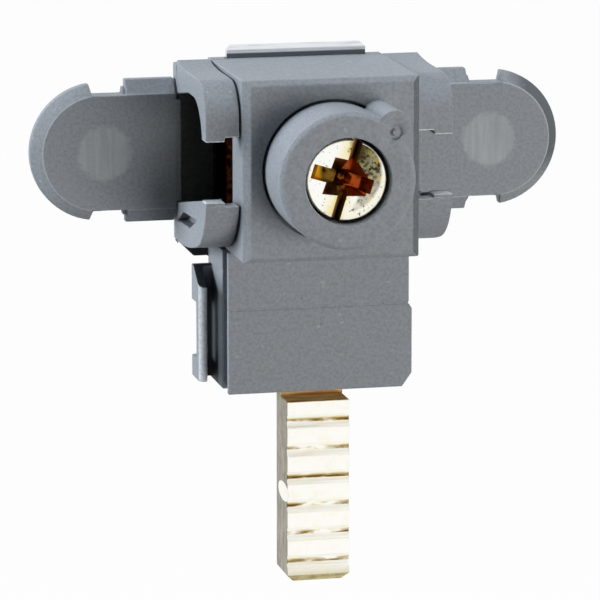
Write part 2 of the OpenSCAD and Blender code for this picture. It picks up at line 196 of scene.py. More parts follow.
class NodeGraph:
    """A node tree that draws in real sizes, from the object's own coordinates.

    A colour is sRGB hex or a socket.
    """

    def __init__(self, tree: bpy.types.NodeTree) -> None:
        """Empties a tree and starts it with the coordinates."""
        self.tree = tree
        self.tree.nodes.clear()
        self.place = self.add("ShaderNodeTexCoord").outputs["Object"]

    def add(self, kind: str, inputs: Inputs | None = None, **settings: object) -> Node:
        """Adds one node with its settings and links.

        Args:
            kind: the node's type name.
            inputs: values or output sockets by input name or number.
            settings: attributes of the node.

        Returns:
            The new node.
        """
        node = self.tree.nodes.new(kind)
        for name, value in settings.items():
            setattr(node, name, value)
        for name, value in (inputs or {}).items():
            if isinstance(value, Socket):
                self.tree.links.new(value, node.inputs[name])
            else:
                node.inputs[name].default_value = value
        return node

    def band(self, value: Socket, span: Span, onto: Span = UNIT) -> Socket:
        """Maps a span of a value, which may run downward, onto another and holds it at both ends."""
        limits = {"From Min": span[0], "From Max": span[1], "To Min": onto[0], "To Max": onto[1]}
        return self.add("ShaderNodeMapRange", {"Value": value, **limits}).outputs[0]

    def mix(self, share: Socket, first: str | Socket, second: str | Socket) -> Socket:
        """Mixes two colours; the share is the second one's."""
        sides = [linear(side) if isinstance(side, str) else side for side in (first, second)]
        return self.add("ShaderNodeMix", {0: share, 6: sides[0], 7: sides[1]}, data_type="RGBA").outputs[2]

    def noise(self, layer: Layer) -> Socket:
        """Draws a layer's noise as it is.

        Args:
            layer: what is drawn, with one size or three along X, Y and Z.

        Returns:
            The noise's value, about a half on average.
        """
        sizes = layer.size if isinstance(layer.size, tuple) else (layer.size, layer.size, layer.size)
        scale = [1 / (size * MM) for size in sizes]
        stretch = self.add("ShaderNodeMapping", {"Vector": self.place, "Scale": scale}).outputs[0]
        inputs = {"Vector": stretch, "Scale": 1.0, "Detail": layer.detail}
        return self.add("ShaderNodeTexNoise", inputs).outputs["Fac"]

    def layer(self, layer: Layer) -> Socket:
        """Draws a layer's noise and shows its span."""
        return self.band(self.noise(layer), layer.span, layer.onto)

    def reckon(self, operation: str, *values: float | Socket) -> Socket:
        """Works out one Math operation on its values in order."""
        return self.add("ShaderNodeMath", dict(enumerate(values)), operation=operation).outputs[0]

    def fold(self, operation: str, *values: Socket) -> Socket:
        """Joins values, one after another, by one Math operation."""
        return reduce(lambda one, other: self.reckon(operation, one, other), values)

    def product(self, *values: Socket) -> Socket:
        """Multiplies values."""
        return self.fold("MULTIPLY", *values)

    def along(self, axis: Triple, centre: Triple = ORIGIN) -> Socket:
        """Measures how far a point lies along a direction, in millimetres.

        Args:
            axis: the direction.
            centre: the point to measure from.

        Returns:
            The distance.
        """
        shift = [-part * MM for part in centre]
        centred = self.add("ShaderNodeVectorMath", {0: self.place, 1: shift}).outputs[0]
        steps = [part / MM for part in axis]
        dot = self.add("ShaderNodeVectorMath", {0: centred, 1: steps}, operation="DOT_PRODUCT")
        return dot.outputs["Value"]

    def fade(self, *fades: Fade) -> Socket:
        """Draws the product of changes along directions."""
        return self.product(*(self.band(self.along(f.axis, f.centre), f.span, f.onto) for f in fades))

    def radius(self, across: Socket, up: Socket) -> Socket:
        """Gives the distance that two distances at right angles make."""
        return self.reckon("SQRT", self.reckon("MULTIPLY_ADD", across, across, self.product(up, up)))

    def bump(self, height: Socket, strength: float, depth: float) -> Socket:
        """Raises the surface by a value, to a depth in millimetres."""
        inputs = {"Height": height, "Strength": strength, "Distance": depth * MM}
        return self.add("ShaderNodeBump", inputs).outputs[0]

    def ray_is(self, *kinds: str) -> Socket:
        """Tells whether a ray is of one of the kinds, such as Camera or Glossy."""
        path = self.add("ShaderNodeLightPath").outputs
        return self.fold("MAXIMUM", *(path[f"Is {kind} Ray"] for kind in kinds))

    def blend(self, share: Socket, first: Node, second: Node) -> Node:
        """Mixes two shaders; the share is the second one's."""
        return self.add("ShaderNodeMixShader", {0: share, 1: first.outputs[0], 2: second.outputs[0]})

    def close(self, kind: str, shader: Node) -> None:
        """Links a finished shader to an output of a kind."""
        self.add(kind, {"Surface": shader.outputs[0]})


@dataclass(frozen=True)
class Finish:
    """A surface; each kind of it draws the inputs of the one shader."""

    name: str

    def inputs(self, graph: NodeGraph) -> Inputs:
        """Draws the shader's inputs, which a plain finish leaves as they are."""
        return {}

    def shader(self, graph: NodeGraph) -> Node:
        """Adds the shader with its inputs."""
        return graph.add("ShaderNodeBsdfPrincipled", self.inputs(graph))

    def material(self) -> bpy.types.Material:
        """Builds the finish's node material, or finds it where it has been built before.

        Returns:
            The material.
        """
        known = bpy.data.materials.get(self.name)
        if known:
            return known
        material = bpy.data.materials.new(self.name)
        material.use_nodes = True
        graph = NodeGraph(material.node_tree)
        graph.close("ShaderNodeOutputMaterial", self.shader(graph))
        return material


@dataclass(frozen=True)
class MouldedPolyamide(Finish):
    """Polyamide moulded in a spark-eroded tool.

    The eroded tool leaves a fine matt grain, so the eye sees an even, dry grey
    with small darker flecks, a few pale or dark specks and no mirror. A round
    ejector mark shows as a paler, streaky patch with a ragged edge.
    """

    colour: str = "#8d9298"
    fleck: str = "#82878c"
    dust: str = "#a6abb0"
    dirt_and_shade: str = "#4d5256"
    roughness: float = 0.55
    specular: float = 0.12
    # the real flecks are finer than a pixel, so they are drawn at a fifth of a millimetre
    flecks: Layer = Layer(0.22, FINER, (0.58, 0.36))
    specks: Layer = Layer(0.55, PLAIN, (0.73, 0.79), (0.0, 0.6))
    pits: Layer = Layer(0.3, PLAIN, (0.215, 0.165), (0.0, 0.7))
    grain: Layer = Layer(0.16, FINE)
    grain_strength: float = 0.35
    grain_height: float = 0.012
    mark: str = "#a0a4a8"
    mark_r: float = 0.0
    mark_edge: Span = (0.5, 0.15)
    mark_front: Fade = Fade(Y, (0.2, -0.2), UNIT, (0.0, 5.1, 0.0))
    ragged: Layer = Layer(0.45, FINER)
    ragged_by: float = 0.7
    streaks: Layer = Layer((0.35, 0.35, 4.0), FINE, (0.34, 0.64), (0.5, 1.0))
    # painted shade: a shade colour, where given, darkens what lies past both spans of shade_where, by
    # default the right flap's outer rim
    shade: str = ""
    shade_where: tuple[Fade, ...] = (Fade(X, (15.3, 16.8)), Fade(Z, (13.3, 15.2)))

    def inputs(self, graph: NodeGraph) -> Inputs:
        """Draws the grey with its flecks, mark, painted shade, specks and grain.

        Args:
            graph: the material's graph.

        Returns:
            The shader's inputs.
        """
        tint = graph.mix(graph.layer(self.flecks), self.colour, self.fleck)
        if self.mark_r:
            tint = graph.mix(self.mark_share(graph), tint, self.mark)
        # painted shade
        if self.shade:
            tint = graph.mix(graph.fade(*self.shade_where), tint, self.shade)
        tint = graph.mix(graph.layer(self.specks), tint, self.dust)
        tint = graph.mix(graph.layer(self.pits), tint, self.dirt_and_shade)
        bump = graph.bump(graph.noise(self.grain), self.grain_strength, self.grain_height)
        surface = {"Roughness": self.roughness, "Specular IOR Level": self.specular}
        return {"Base Color": tint, "Normal": bump, **surface}

    def mark_share(self, graph: NodeGraph) -> Socket:
        """Draws the ejector marks of both flaps, which lie mirrored about the middle.

        Args:
            graph: the material's graph.

        Returns:
            How strongly the mark shows.
        """
        across = graph.reckon("SUBTRACT", graph.reckon("ABSOLUTE", graph.along(X)), DISH_X)
        radius = graph.radius(across, graph.along(Z, ON_AXIS))
        ragged = graph.reckon("MULTIPLY_ADD", graph.noise(self.ragged), self.ragged_by, radius)
        inside = graph.band(ragged, shifted(self.mark_edge, self.mark_r))
        return graph.product(inside, graph.fade(self.mark_front), graph.layer(self.streaks))


@dataclass(frozen=True)
class WorkedBrass(Finish):
    """Brass as a tool left it: rolled, turned or sheared.

    The bare metal mirrors its white surroundings softly and in its own colour,
    and tarnish gathers where a finger or a cloth doesn't reach. Painted shade,
    where it has a place, blackens what lies further from the middle.
    """

    colour: str
    tarnish: str
    streak_mm: Triple
    tarnish_share: float = 0.5
    roughness: float = 0.45
    metallic: float = 1.0
    tarnish_fade: Span = (-0.12, 0.12)
    spots: Layer = Layer(0.25, FINE, (0.3, 0.7))
    spot_rough: Span = (-0.08, 0.1)
    # painted shade: past a distance from the middle the metal is drawn near black
    shade_black: str = "#070403"
    shade_black_x: float = 0.0
    shade_black_fade: Span = (-0.08, 0.08)

    def inputs(self, graph: NodeGraph) -> Inputs:
        """Draws the metal, its tarnish and painted shade, and its uneven polish.

        Args:
            graph: the material's graph.

        Returns:
            The shader's inputs.
        """
        edge = shifted(self.tarnish_fade, 1 - self.tarnish_share)
        tint = graph.mix(graph.layer(Layer(self.streak_mm, FINER, edge)), self.colour, self.tarnish)
        if self.shade_black_x:
            across = graph.reckon("ABSOLUTE", graph.along(X))
            tint = graph.mix(graph.band(across, shifted(self.shade_black_fade, self.shade_black_x)), tint, self.shade_black)
        rough = shifted(self.spot_rough, self.roughness)
        polish = graph.band(graph.noise(self.spots), self.spots.span, rough)
        return {"Base Color": tint, "Roughness": polish, "Metallic": self.metallic}


@dataclass(frozen=True)
class WornHead(Finish):
    """The turned head of a brass screw that has been driven a few times.

    The left half is still bright and mirrors the white room, yellower beside the
    slot. On the right, olive tarnish, old gold and small dark pits take the shine
    away, except for a worn crescent along the rim, and painted shadow lies by the slot.
    """

    bright: str = "#fefdf8"
    yellow: str = "#f0e08e"
    tarnish: str = "#3a3316"
    patina: str = "#949074"
    gold: str = "#b79c48"
    pit: str = "#33270f"
    roughness: float = 0.3
    toward: Triple = (0.42, 0.0, 0.03)
    dull_span: Span = (0.62, 0.85)
    patches: Layer = Layer(0.8, FINEST, (0.2, 0.5))
    worn_at: Triple = (-0.25, 0.0, AXIS_Z + 0.45)
    worn_r: float = 2.68
    worn_fade: Span = (0.1, -0.1)
    lower: Fade = Fade(Z, (-1.6, 0.2), (0.6, 1.0), worn_at)
    warm: tuple[Fade, ...] = (Fade(FROM_SLOT, (-1.3, -0.35), (0.0, 0.9), ON_AXIS),
                              Fade(FROM_SLOT, (0.3, 0.6), (1.0, 0.25), ON_AXIS))
    # painted shadow beside the slot's right side, near its top
    shade_band: tuple[Fade, ...] = (Fade(FROM_SLOT, (0.1, 0.3), UNIT, ON_AXIS),
                               Fade(FROM_SLOT, (1.3, 0.5), UNIT, ON_AXIS),
                               Fade(Z, (0.3, 1.1), (0.0, 0.9), worn_at))
    blotches: Layer = Layer(0.32, FINEST, (0.42, 0.58))
    flashes: Layer = Layer(0.5, FINE, (0.54, 0.62), (0.0, 0.8))
    spots: Layer = Layer(0.2, FINE)
    spot_strength: float = 0.5
    spot_depth: float = 0.02
    hole_span: Span = (0.66, 0.72)
    hole_more: float = 0.05

    def inputs(self, graph: NodeGraph) -> Inputs:
        """Draws the bright half, the dull half and what lies on both.

        Args:
            graph: the material's graph.

        Returns:
            The shader's inputs.
        """
        patch = graph.reckon("ADD", graph.along(self.toward, ON_AXIS), graph.noise(self.patches))
        radius = graph.radius(graph.along(X, self.worn_at), graph.along(Z, self.worn_at))
        within = graph.band(radius, shifted(self.worn_fade, self.worn_r))
        dull = graph.product(graph.band(patch, self.dull_span), within, graph.fade(self.lower))
        warm = graph.product(graph.fade(*self.warm), graph.layer(self.patches))
        spot = graph.noise(self.spots)
        hole = graph.band(graph.reckon("MULTIPLY_ADD", dull, self.hole_more, spot), self.hole_span)
        aged = graph.mix(graph.layer(self.blotches), self.tarnish, self.patina)
        aged = graph.mix(graph.layer(self.flashes), aged, self.gold)
        tint = graph.mix(dull, graph.mix(warm, self.bright, self.yellow), aged)
        tint = graph.mix(graph.fade(*self.shade_band), graph.mix(hole, tint, self.pit), self.tarnish)
        bump = graph.bump(spot, self.spot_strength, self.spot_depth)
        return {"Base Color": tint, "Normal": bump, "Metallic": 1.0, "Roughness": self.roughness}


@dataclass(frozen=True)
class LitAndShadedRecess(Finish):
    """The struck recess of a brass screw, with painted highlights and shade.

    Yellow metal shows at the left and a painted orange-red highlight at the
    right; between them painted shade makes it nearly black. At the slot's ends
    one wall has a painted amber highlight and the other painted black shade.
    """

    yellow: str = "#d39c1c"
    olive: str = "#7a5a22"
    red: str = "#a64a1b"
    wall_highlight: str = "#eaa468"
    recess_shade: str = "#180b05"
    roughness: float = 0.4
    left: Fade = Fade(X, (-1.7, -1.35))
    right: Fade = Fade(X, (-0.5, 0.4))
    shade_patches: Layer = Layer(0.75, FINER, (0.48, 0.66))
    wall: Fade = Fade(FROM_SLOT, (-0.15, 0.2), UNIT, ON_AXIS)
    end_span: Span = (1.15, 1.6)

    def inputs(self, graph: NodeGraph) -> Inputs:
        """Draws the metal with its painted highlights and shade.

        Args:
            graph: the material's graph.

        Returns:
            The shader's inputs.
        """
        left = graph.fade(self.left)
        tint = graph.mix(graph.fade(self.right), graph.mix(left, self.yellow, self.olive), self.red)
        tint = graph.mix(graph.product(graph.layer(self.shade_patches), left), tint, self.recess_shade)
        height = graph.reckon("ABSOLUTE", graph.along(Z, ON_AXIS))
        # painted light and shade: at the slot's ends one wall is drawn as lit amber and the other as black
        # shade
        end = graph.mix(graph.fade(self.wall), self.wall_highlight, self.recess_shade)
        tint = graph.mix(graph.band(height, self.end_span), tint, end)
        return {"Base Color": tint, "Metallic": 1.0, "Roughness": self.roughness}


@dataclass(frozen=True)
class GripBrass(Finish):
    """Bright rolled brass with cross grooves.

    The flat mirrors the white room in a creamy tone; painted shade lies in
    the bottom of the grooves as thin broken brown strokes with golden fringes,
    and the tip has worn to a tan.
    """

    colour: str = "#fffef7"
    mottle: str = "#fdf9ea"
    fringe: str = "#dcc684"
    groove_shade: str = "#6b4f1e"
    worn: str = "#c9bd90"
    roughness: float = 0.36
    # the grooves are 0.2 deep, so the front ends a little past that, and the painted shade lies a little
    # before
    face: Triple = (0.0, -1.8, 0.0)
    front: Fade = Fade(Y, (0.32, 0.28), UNIT, face)
    fringe_in: Fade = Fade(Y, (0.12, 0.18), UNIT, face)
    groove_shade_in: Fade = Fade(Y, (0.172, 0.198), UNIT, face)
    stroke_mm: Triple = (2.2, 1.0, 0.6)
    fringes: Layer = Layer(stroke_mm, FINEST, (0.38, 0.52))
    groove_shade_strokes: Layer = Layer(stroke_mm, FINEST, (0.40, 0.54))
    mottles: Layer = Layer(0.5, FINER, (0.5, 0.72))
    worn_tip: Fade = Fade(Z, (1.25, 0.3), (0.0, 0.85), (0.0, 0.0, -13.9))

    def inputs(self, graph: NodeGraph) -> Inputs:
        """Draws the creamy flat, the worn tip and the painted shade in the grooves.

        Args:
            graph: the material's graph.

        Returns:
            The shader's inputs.
        """
        # painted shade: golden fringes and brown strokes darken the grooves towards their bottoms
        shade_band = graph.product(graph.fade(self.front, self.fringe_in), graph.layer(self.fringes))
        dirt_and_shade = graph.product(graph.fade(self.front, self.groove_shade_in), graph.layer(self.groove_shade_strokes))
        tint = graph.mix(graph.layer(self.mottles), self.colour, self.mottle)
        tint = graph.mix(graph.fade(self.worn_tip), tint, self.worn)
        tint = graph.mix(dirt_and_shade, graph.mix(shade_band, tint, self.fringe), self.groove_shade)
        return {"Base Color": tint, "Metallic": 1.0, "Roughness": self.roughness}


@dataclass(frozen=True)
class ZincPlating(Finish):
    """Bright zinc on pressed sheet steel.

    It is near-white with faint rolling streaks along the strip, and below a
    given height painted shadow darkens it.
    """

    colour: str = "#e6e8ec"
    shade: str = "#c4c8cc"
    # painted shadow: below a given height the plating is drawn dark
    gap_shadow: str = "#63676b"
    gap_shadow_z: float = 0.0
    gap_shadow_span: Span = (0.0, -0.08)
    roughness: float = 0.32
    streaks: Layer = Layer((2.4, 0.3, 0.12), FINE, (0.5, 0.75))

    def inputs(self, graph: NodeGraph) -> Inputs:
        """Draws the streaky plating and its painted shadow.

        Args:
            graph: the material's graph.

        Returns:
            The shader's inputs.
        """
        low = graph.fade(Fade(Z, self.gap_shadow_span, UNIT, (0.0, 0.0, self.gap_shadow_z)))
        tint = graph.mix(graph.layer(self.streaks), self.colour, self.shade)
        return {"Base Color": graph.mix(low, tint, self.gap_shadow), "Metallic": 1.0, "Roughness": self.roughness}


@dataclass(frozen=True)
class StudioPaper(Finish):
    """Matt paper that looks white to the eye and in mirrors, and throws little light back."""

    unseen: str = "#4a4a4a"
    seen: str = "#f4f4f4"
    glow: str = "#ffffff"
    glow_share: float = 0.98

    def shader(self, graph: NodeGraph) -> Node:
        """Mixes dull paper with a white glow for the rays that look at it.

        Args:
            graph: the material's graph.

        Returns:
            The mixed shader.
        """
        eye = graph.ray_is("Camera", "Glossy")
        paper = graph.add("ShaderNodeBsdfDiffuse", {"Color": graph.mix(eye, self.unseen, self.seen)})
        glow = graph.add("ShaderNodeEmission", {"Color": linear(self.glow), "Strength": 1.0})
        return graph.blend(graph.reckon("MULTIPLY", eye, self.glow_share), paper, glow)


def select_only(obj: Object) -> None:
    """Deselects everything else and makes the object the active one."""
    bpy.ops.object.select_all(action="DESELECT")
    obj.select_set(True)
    bpy.context.view_layer.objects.active = obj


@contextmanager
def editing(obj: Object, kind: str, everything: bool = False) -> Iterator[None]:
    """Opens edit mode on one object.

    Args:
        obj: the object to edit.
        kind: what is selected there: VERT, EDGE or FACE.
        everything: whether all of it is selected first.
    """
    select_only(obj)
    bpy.ops.object.mode_set(mode="EDIT")
    bpy.ops.mesh.select_mode(type=kind)
    if everything:
        bpy.ops.mesh.select_all(action="SELECT")
    yield
    bpy.ops.object.mode_set(mode="OBJECT")


def clear_picks(mesh: bpy.types.Mesh) -> None:
    """Drops every selection in a mesh."""
    for part in (mesh.vertices, mesh.edges, mesh.polygons):
        part.foreach_set("select", [False] * len(part))


def pick_faces(obj: Object, wanted: Test) -> None:
    """Selects the faces that a test accepts."""
    clear_picks(obj.data)
    for face in obj.data.polygons:
        face.select = wanted(face.center / MM, face.normal)


def round_edges(obj: Object, radius: float, segments: int, wanted: Test) -> None:
    """Rounds the edges that a test accepts.

    Args:
        obj: the object to round.
        radius: the rounding's width.
        segments: how many faces make up the rounding.
        wanted: the test.
    """
    clear_picks(obj.data)
    for edge in obj.data.edges:
        edge.select = wanted(*(obj.data.vertices[i].co / MM for i in edge.vertices))
    with editing(obj, "EDGE"):
        bpy.ops.mesh.bevel(offset=radius * MM, segments=segments, affect="EDGES")


def apply_modifier(obj: Object, kind: str, **settings: object) -> None:
    """Adds a modifier with its settings and applies it.

    Args:
        obj: the object that the modifier shapes.
        kind: the modifier's type name.
        settings: attributes of the modifier.
    """
    select_only(obj)
    modifier = obj.modifiers.new(kind.title(), kind)
    for name, value in settings.items():
        setattr(modifier, name, value)
    bpy.ops.object.modifier_apply(modifier=modifier.name)


def smooth(obj: Object, degrees: float = 38) -> None:
    """Shades an object smooth, except across edges sharper than an angle, and keeps its flats flat."""
    select_only(obj)
    bpy.ops.object.shade_smooth_by_angle(angle=math.radians(degrees))
    apply_modifier(obj, "WEIGHTED_NORMAL", keep_sharp=True)


def corners(node: str) -> tuple[Vector, Vector]:
    """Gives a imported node's lowest and highest corners in millimetres."""
    low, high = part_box(node)
    return low / MM, high / MM


def copy_of(node: str, name: str, flat_degrees: float = 0.5) -> Object:
    """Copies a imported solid's mesh into a new object and merges its loose triangles.

    Args:
        node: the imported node.
        name: the new object's name.
        flat_degrees: faces that bend less than this become one.

    Returns:
        The new object.
    """
    piece = bpy.data.objects.new(name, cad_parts[node].data.copy())
    bpy.context.scene.collection.objects.link(piece)
    piece.data.materials.clear()
    with editing(piece, "VERT", everything=True):
        bpy.ops.mesh.customdata_custom_splitnormals_clear()
        bpy.ops.mesh.remove_doubles(threshold=MERGE_PACKED * MM)
        bpy.ops.mesh.dissolve_limited(angle_limit=math.radians(flat_degrees))
        bpy.ops.mesh.normals_make_consistent(inside=False)
    return piece


def soften(piece: Object, radius: float, segments: int = 3, sharper_than: float = 28) -> None:
    """Rounds every edge that is sharper than an angle.

    Args:
        piece: the object to round.
        radius: the rounding's width.
        segments: how many faces make up the rounding.
        sharper_than: the angle in degrees.
    """
    apply_modifier(piece, "BEVEL", width=radius * MM, segments=segments, limit_method="ANGLE",
                   angle_limit=math.radians(sharper_than), use_clamp_overlap=False, miter_outer="MITER_ARC")
    with editing(piece, "VERT", everything=True):
        bpy.ops.mesh.remove_doubles(threshold=MERGE_ROUNDED * MM)
    smooth(piece)


def softened(node: str, name: str, radius: float) -> Object:
    """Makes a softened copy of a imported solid, which it replaces.

    Args:
        node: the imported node.
        name: the new object's name.
        radius: the rounding's width.

    Returns:
        The new object.
    """
    piece = copy_of(node, name)
    soften(piece, radius)
    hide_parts(node)
    return piece


def added(name: str, operator: Callable[..., set[str]], **settings: object) -> Object:
    """Adds a new shape.

    Args:
        name: the new object's name.
        operator: the operator that adds it.
        settings: what the operator takes.

    Returns:
        The new object.
    """
    bpy.ops.object.select_all(action="DESELECT")
    operator(**settings)
    bpy.context.active_object.name = name
    return bpy.context.active_object


def block(name: str, middle: Triple, size: Triple) -> Object:
    """Adds a plain block.

    Args:
        name: the new object's name.
        middle: its middle in millimetres.
        size: its sizes in millimetres.

    Returns:
        The block.
    """
    piece = added(name, bpy.ops.mesh.primitive_cube_add, size=1, location=Vector(middle) * MM)
    piece.scale = Vector(size) * MM
    bpy.ops.object.transform_apply(location=True, rotation=False, scale=True)
    return piece


def coat(piece: Object, finish: Finish) -> int:
    """Adds a finish to a piece, unless it is there, and gives its number."""
    if finish.name not in piece.data.materials:
        piece.data.materials.append(finish.material())
    return piece.data.materials.find(finish.name)


def cut(piece: Object, cutter: Object, finish: Finish) -> None:
    """Cuts a tool's shape out of a piece.

    Args:
        piece: the object that is cut.
        cutter: the tool, which is removed afterwards.
        finish: what the cut faces get.
    """
    coat(cutter, finish)
    select_only(cutter)
    bpy.ops.object.transform_apply()
    apply_modifier(piece, "BOOLEAN", object=cutter, operation="DIFFERENCE", solver="EXACT",
                   material_mode="TRANSFER")
    bpy.data.objects.remove(cutter, do_unlink=True)


def paint(piece: Object, finish: Finish, wanted: Test) -> None:
    """Gives the faces that a test accepts another finish.

    Args:
        piece: the object to paint.
        finish: what the faces get.
        wanted: the test.
    """
    index = coat(piece, finish)
    for face in piece.data.polygons:
        if wanted(face.center / MM, face.normal):
            face.material_index = index


def dress(piece: Object, body: Body, finish: Finish) -> Object:
    """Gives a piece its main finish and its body.

    Args:
        piece: the finished object.
        body: the body that it moves with.
        finish: what covers it, apart from the faces that are painted.

    Returns:
        The same object.
    """
    coat(piece, finish)
    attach(piece, body.value)
    return piece


@dataclass
class Housing:
    """The three grey mouldings that enclose the clamp."""

    plastic: Finish = MouldedPolyamide("moulded polyamide")
    # painted highlight: the slits' edges and the rail's front are drawn pale, as if lit
    edge_highlight: Finish = MouldedPolyamide("moulded polyamide, painted edge highlight", "#d2d6da", "#bcc0c4")
    # painted shade: the tunnel's back wall is drawn near black, as it lies deep in shade
    tunnel_shade: Finish = MouldedPolyamide("moulded polyamide, painted tunnel shade", "#545956", "#4a4f4c")
    # painted shade: the groove beside the rail is drawn darker towards its bottom, where the rail shades it
    spine_groove_shade: Finish = MouldedPolyamide("moulded polyamide, painted groove shade", shade="#40464a",
                                     shade_where=(Fade(X, (-1.0, -2.0)), Fade(Z, (8.0, 6.6))))
    # painted shade: the rail's head and the wall above it, under the left hood, are drawn near black
    undercut_shade: Finish = MouldedPolyamide("moulded polyamide, painted undercut shade", "#34383b", "#2b2f32")
    # painted shade: the box's right bevel is drawn darker, as it lies in shade
    shaded: Finish = MouldedPolyamide("moulded polyamide, painted shade on edge", "#666b6f", "#5c6165")
    shell_ease: float = 0.09
    cover_ease: float = 0.07
    mark_at: Triple = (3.25, -10.84, 19.66)
    mark_r: float = 0.35
    mark_wire: float = 0.16
    seam_z: float = 6.0
    seam_d: float = 0.5
    seam_h: float = 0.22
    seam_sink: float = 0.035
    seam_short: float = 0.3
    seam_round: float = 0.3
    rail_at: Span = (-7.852, 1.7)
    rail_round: float = 0.45
    rail_run: float = 3.0
    joint_x: float = 6.4
    joint_lap: float = 0.3
    # one slit's edge, measured outward from the middle and from the clamp's axis
    slit_edge: Region = Region(x=over(6.3), y=under(-3.4), z=(1.8, 2.6), lean_z=over(0.25))
    rail_front: Region = Region(x=under(-7.152), y=under(2.3), z=under(7.2), lean_y=under(-0.2),
                                lean_z=(-0.3, 0.3))
    tunnel_wall: Region = Region(y=over(2.5), z=(12.0, 20.8), lean_y=under(-0.9))
    groove_side: Region = Region(x=(-7.3, -6.4), z=under(9.9), lean_x=under(-0.5))
    groove_floor: Region = Region(x=(-7.3, -6.4), y=over(3.4), z=under(9.9), lean_y=under(-0.5))
    rail_head: Region = Region(x=(-8.4, -6.4), z=(6.5, 9.9), lean_z=over(0.5))
    wall_above: Region = Region(x=(-8.4, -6.4), y=over(3.4), z=(6.5, 9.9), lean_y=under(-0.5))
    right_bevel: Region = Region(x=over(5.4), y=under(-4.4), lean_x=over(0.3), lean_y=under(-0.3),
                                 lean_z=(-0.4, 0.4))

    def build(self) -> list[Object]:
        """Softens the mouldings, sinks the mould mark, closes the seam and paints highlights and shade onto
        them.

        Returns:
            The new pieces.
        """
        pieces = []
        eases = {"front_shell": self.shell_ease, "rear_shell": self.shell_ease, "pin_cover": self.cover_ease}
        for node, ease in eases.items():
            piece = copy_of(node, node + "_moulding")
            if node == "rear_shell":
                self.shape_rear(piece)
            soften(piece, ease)
            coat(piece, self.plastic)
            if node == "front_shell":
                self.sink_mark(piece)
            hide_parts(node)
            pieces.append(dress(piece, Body.HOUSING, self.plastic))
            # the painted highlights and shade go on last
            for finish, wanted in self.painted_light_and_shade(node):
                paint(piece, finish, wanted)
        return pieces + [self.build_seam()]

    def painted_light_and_shade(self, node: str) -> list[tuple[Finish, Test]]:
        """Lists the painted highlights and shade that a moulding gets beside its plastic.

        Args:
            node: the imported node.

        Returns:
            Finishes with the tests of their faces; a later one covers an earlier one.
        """
        rear = [(self.edge_highlight, self.is_slit_edge), (self.edge_highlight, self.rail_front),
                (self.tunnel_shade, self.tunnel_wall),
                (self.spine_groove_shade, self.groove_side), (self.spine_groove_shade, self.groove_floor),
                (self.undercut_shade, self.rail_head), (self.undercut_shade, self.wall_above)]
        return {"front_shell": [(self.shaded, self.right_bevel)], "rear_shell": rear}.get(node, [])

    def is_slit_edge(self, c: Vector, n: Vector) -> bool:
        """Tells whether a face is an edge of a slit; those of both hoods mirror one another."""
        outward = Vector((abs(c.x), c.y, abs(c.z - AXIS_Z)))
        return self.slit_edge(outward, Vector((n.x, n.y, abs(n.z))))

    def shape_rear(self, shell: Object) -> None:
        """Rounds the rail's rubbed edge, and leads the right hood into the box, where no gap shows.

        Args:
            shell: the rear shell.
        """
        round_edges(shell, self.rail_round, 5, self.is_rail_edge)
        pick_faces(shell, lambda c, n: abs(c.x - self.joint_x) < NEAR and n.x < -SQUARE)
        with editing(shell, "FACE"):
            bpy.ops.transform.translate(value=(-self.joint_lap * MM, 0, 0))

    def is_rail_edge(self, a: Vector, b: Vector) -> bool:
        """Tells whether an edge is the rail's long outer front one."""
        at_rail = all(math.dist(end.xy, self.rail_at) < NEAR for end in (a, b))
        return at_rail and abs(a.z - b.z) > self.rail_run

    def sink_mark(self, shell: Object) -> None:
        """Sinks the ring that the moulding tool leaves on the small boss.

        Args:
            shell: the front shell.
        """
        ring = added("mark_ring", bpy.ops.mesh.primitive_torus_add, major_radius=self.mark_r * MM,
                     minor_radius=self.mark_wire * MM, major_segments=40, minor_segments=12,
                     rotation=(math.pi / 2, 0, 0), location=Vector(self.mark_at) * MM)
        apply_modifier(shell, "TRIANGULATE")
        cut(shell, ring, self.plastic)
        smooth(shell)

    def build_seam(self) -> Object:
        """Models the weld bead that closes the seam between skirt and pin cover.

        Returns:
            The bead.
        """
        low, high = corners("pin_cover")
        middle = (0.0, low.y + self.seam_sink + self.seam_d / 2, self.seam_z)
        bead = block("seam_weld_bead", middle, (high.x - low.x - self.seam_short, self.seam_d, self.seam_h))
        soften(bead, self.seam_h * self.seam_round, segments=2)
        return dress(bead, Body.HOUSING, self.plastic)


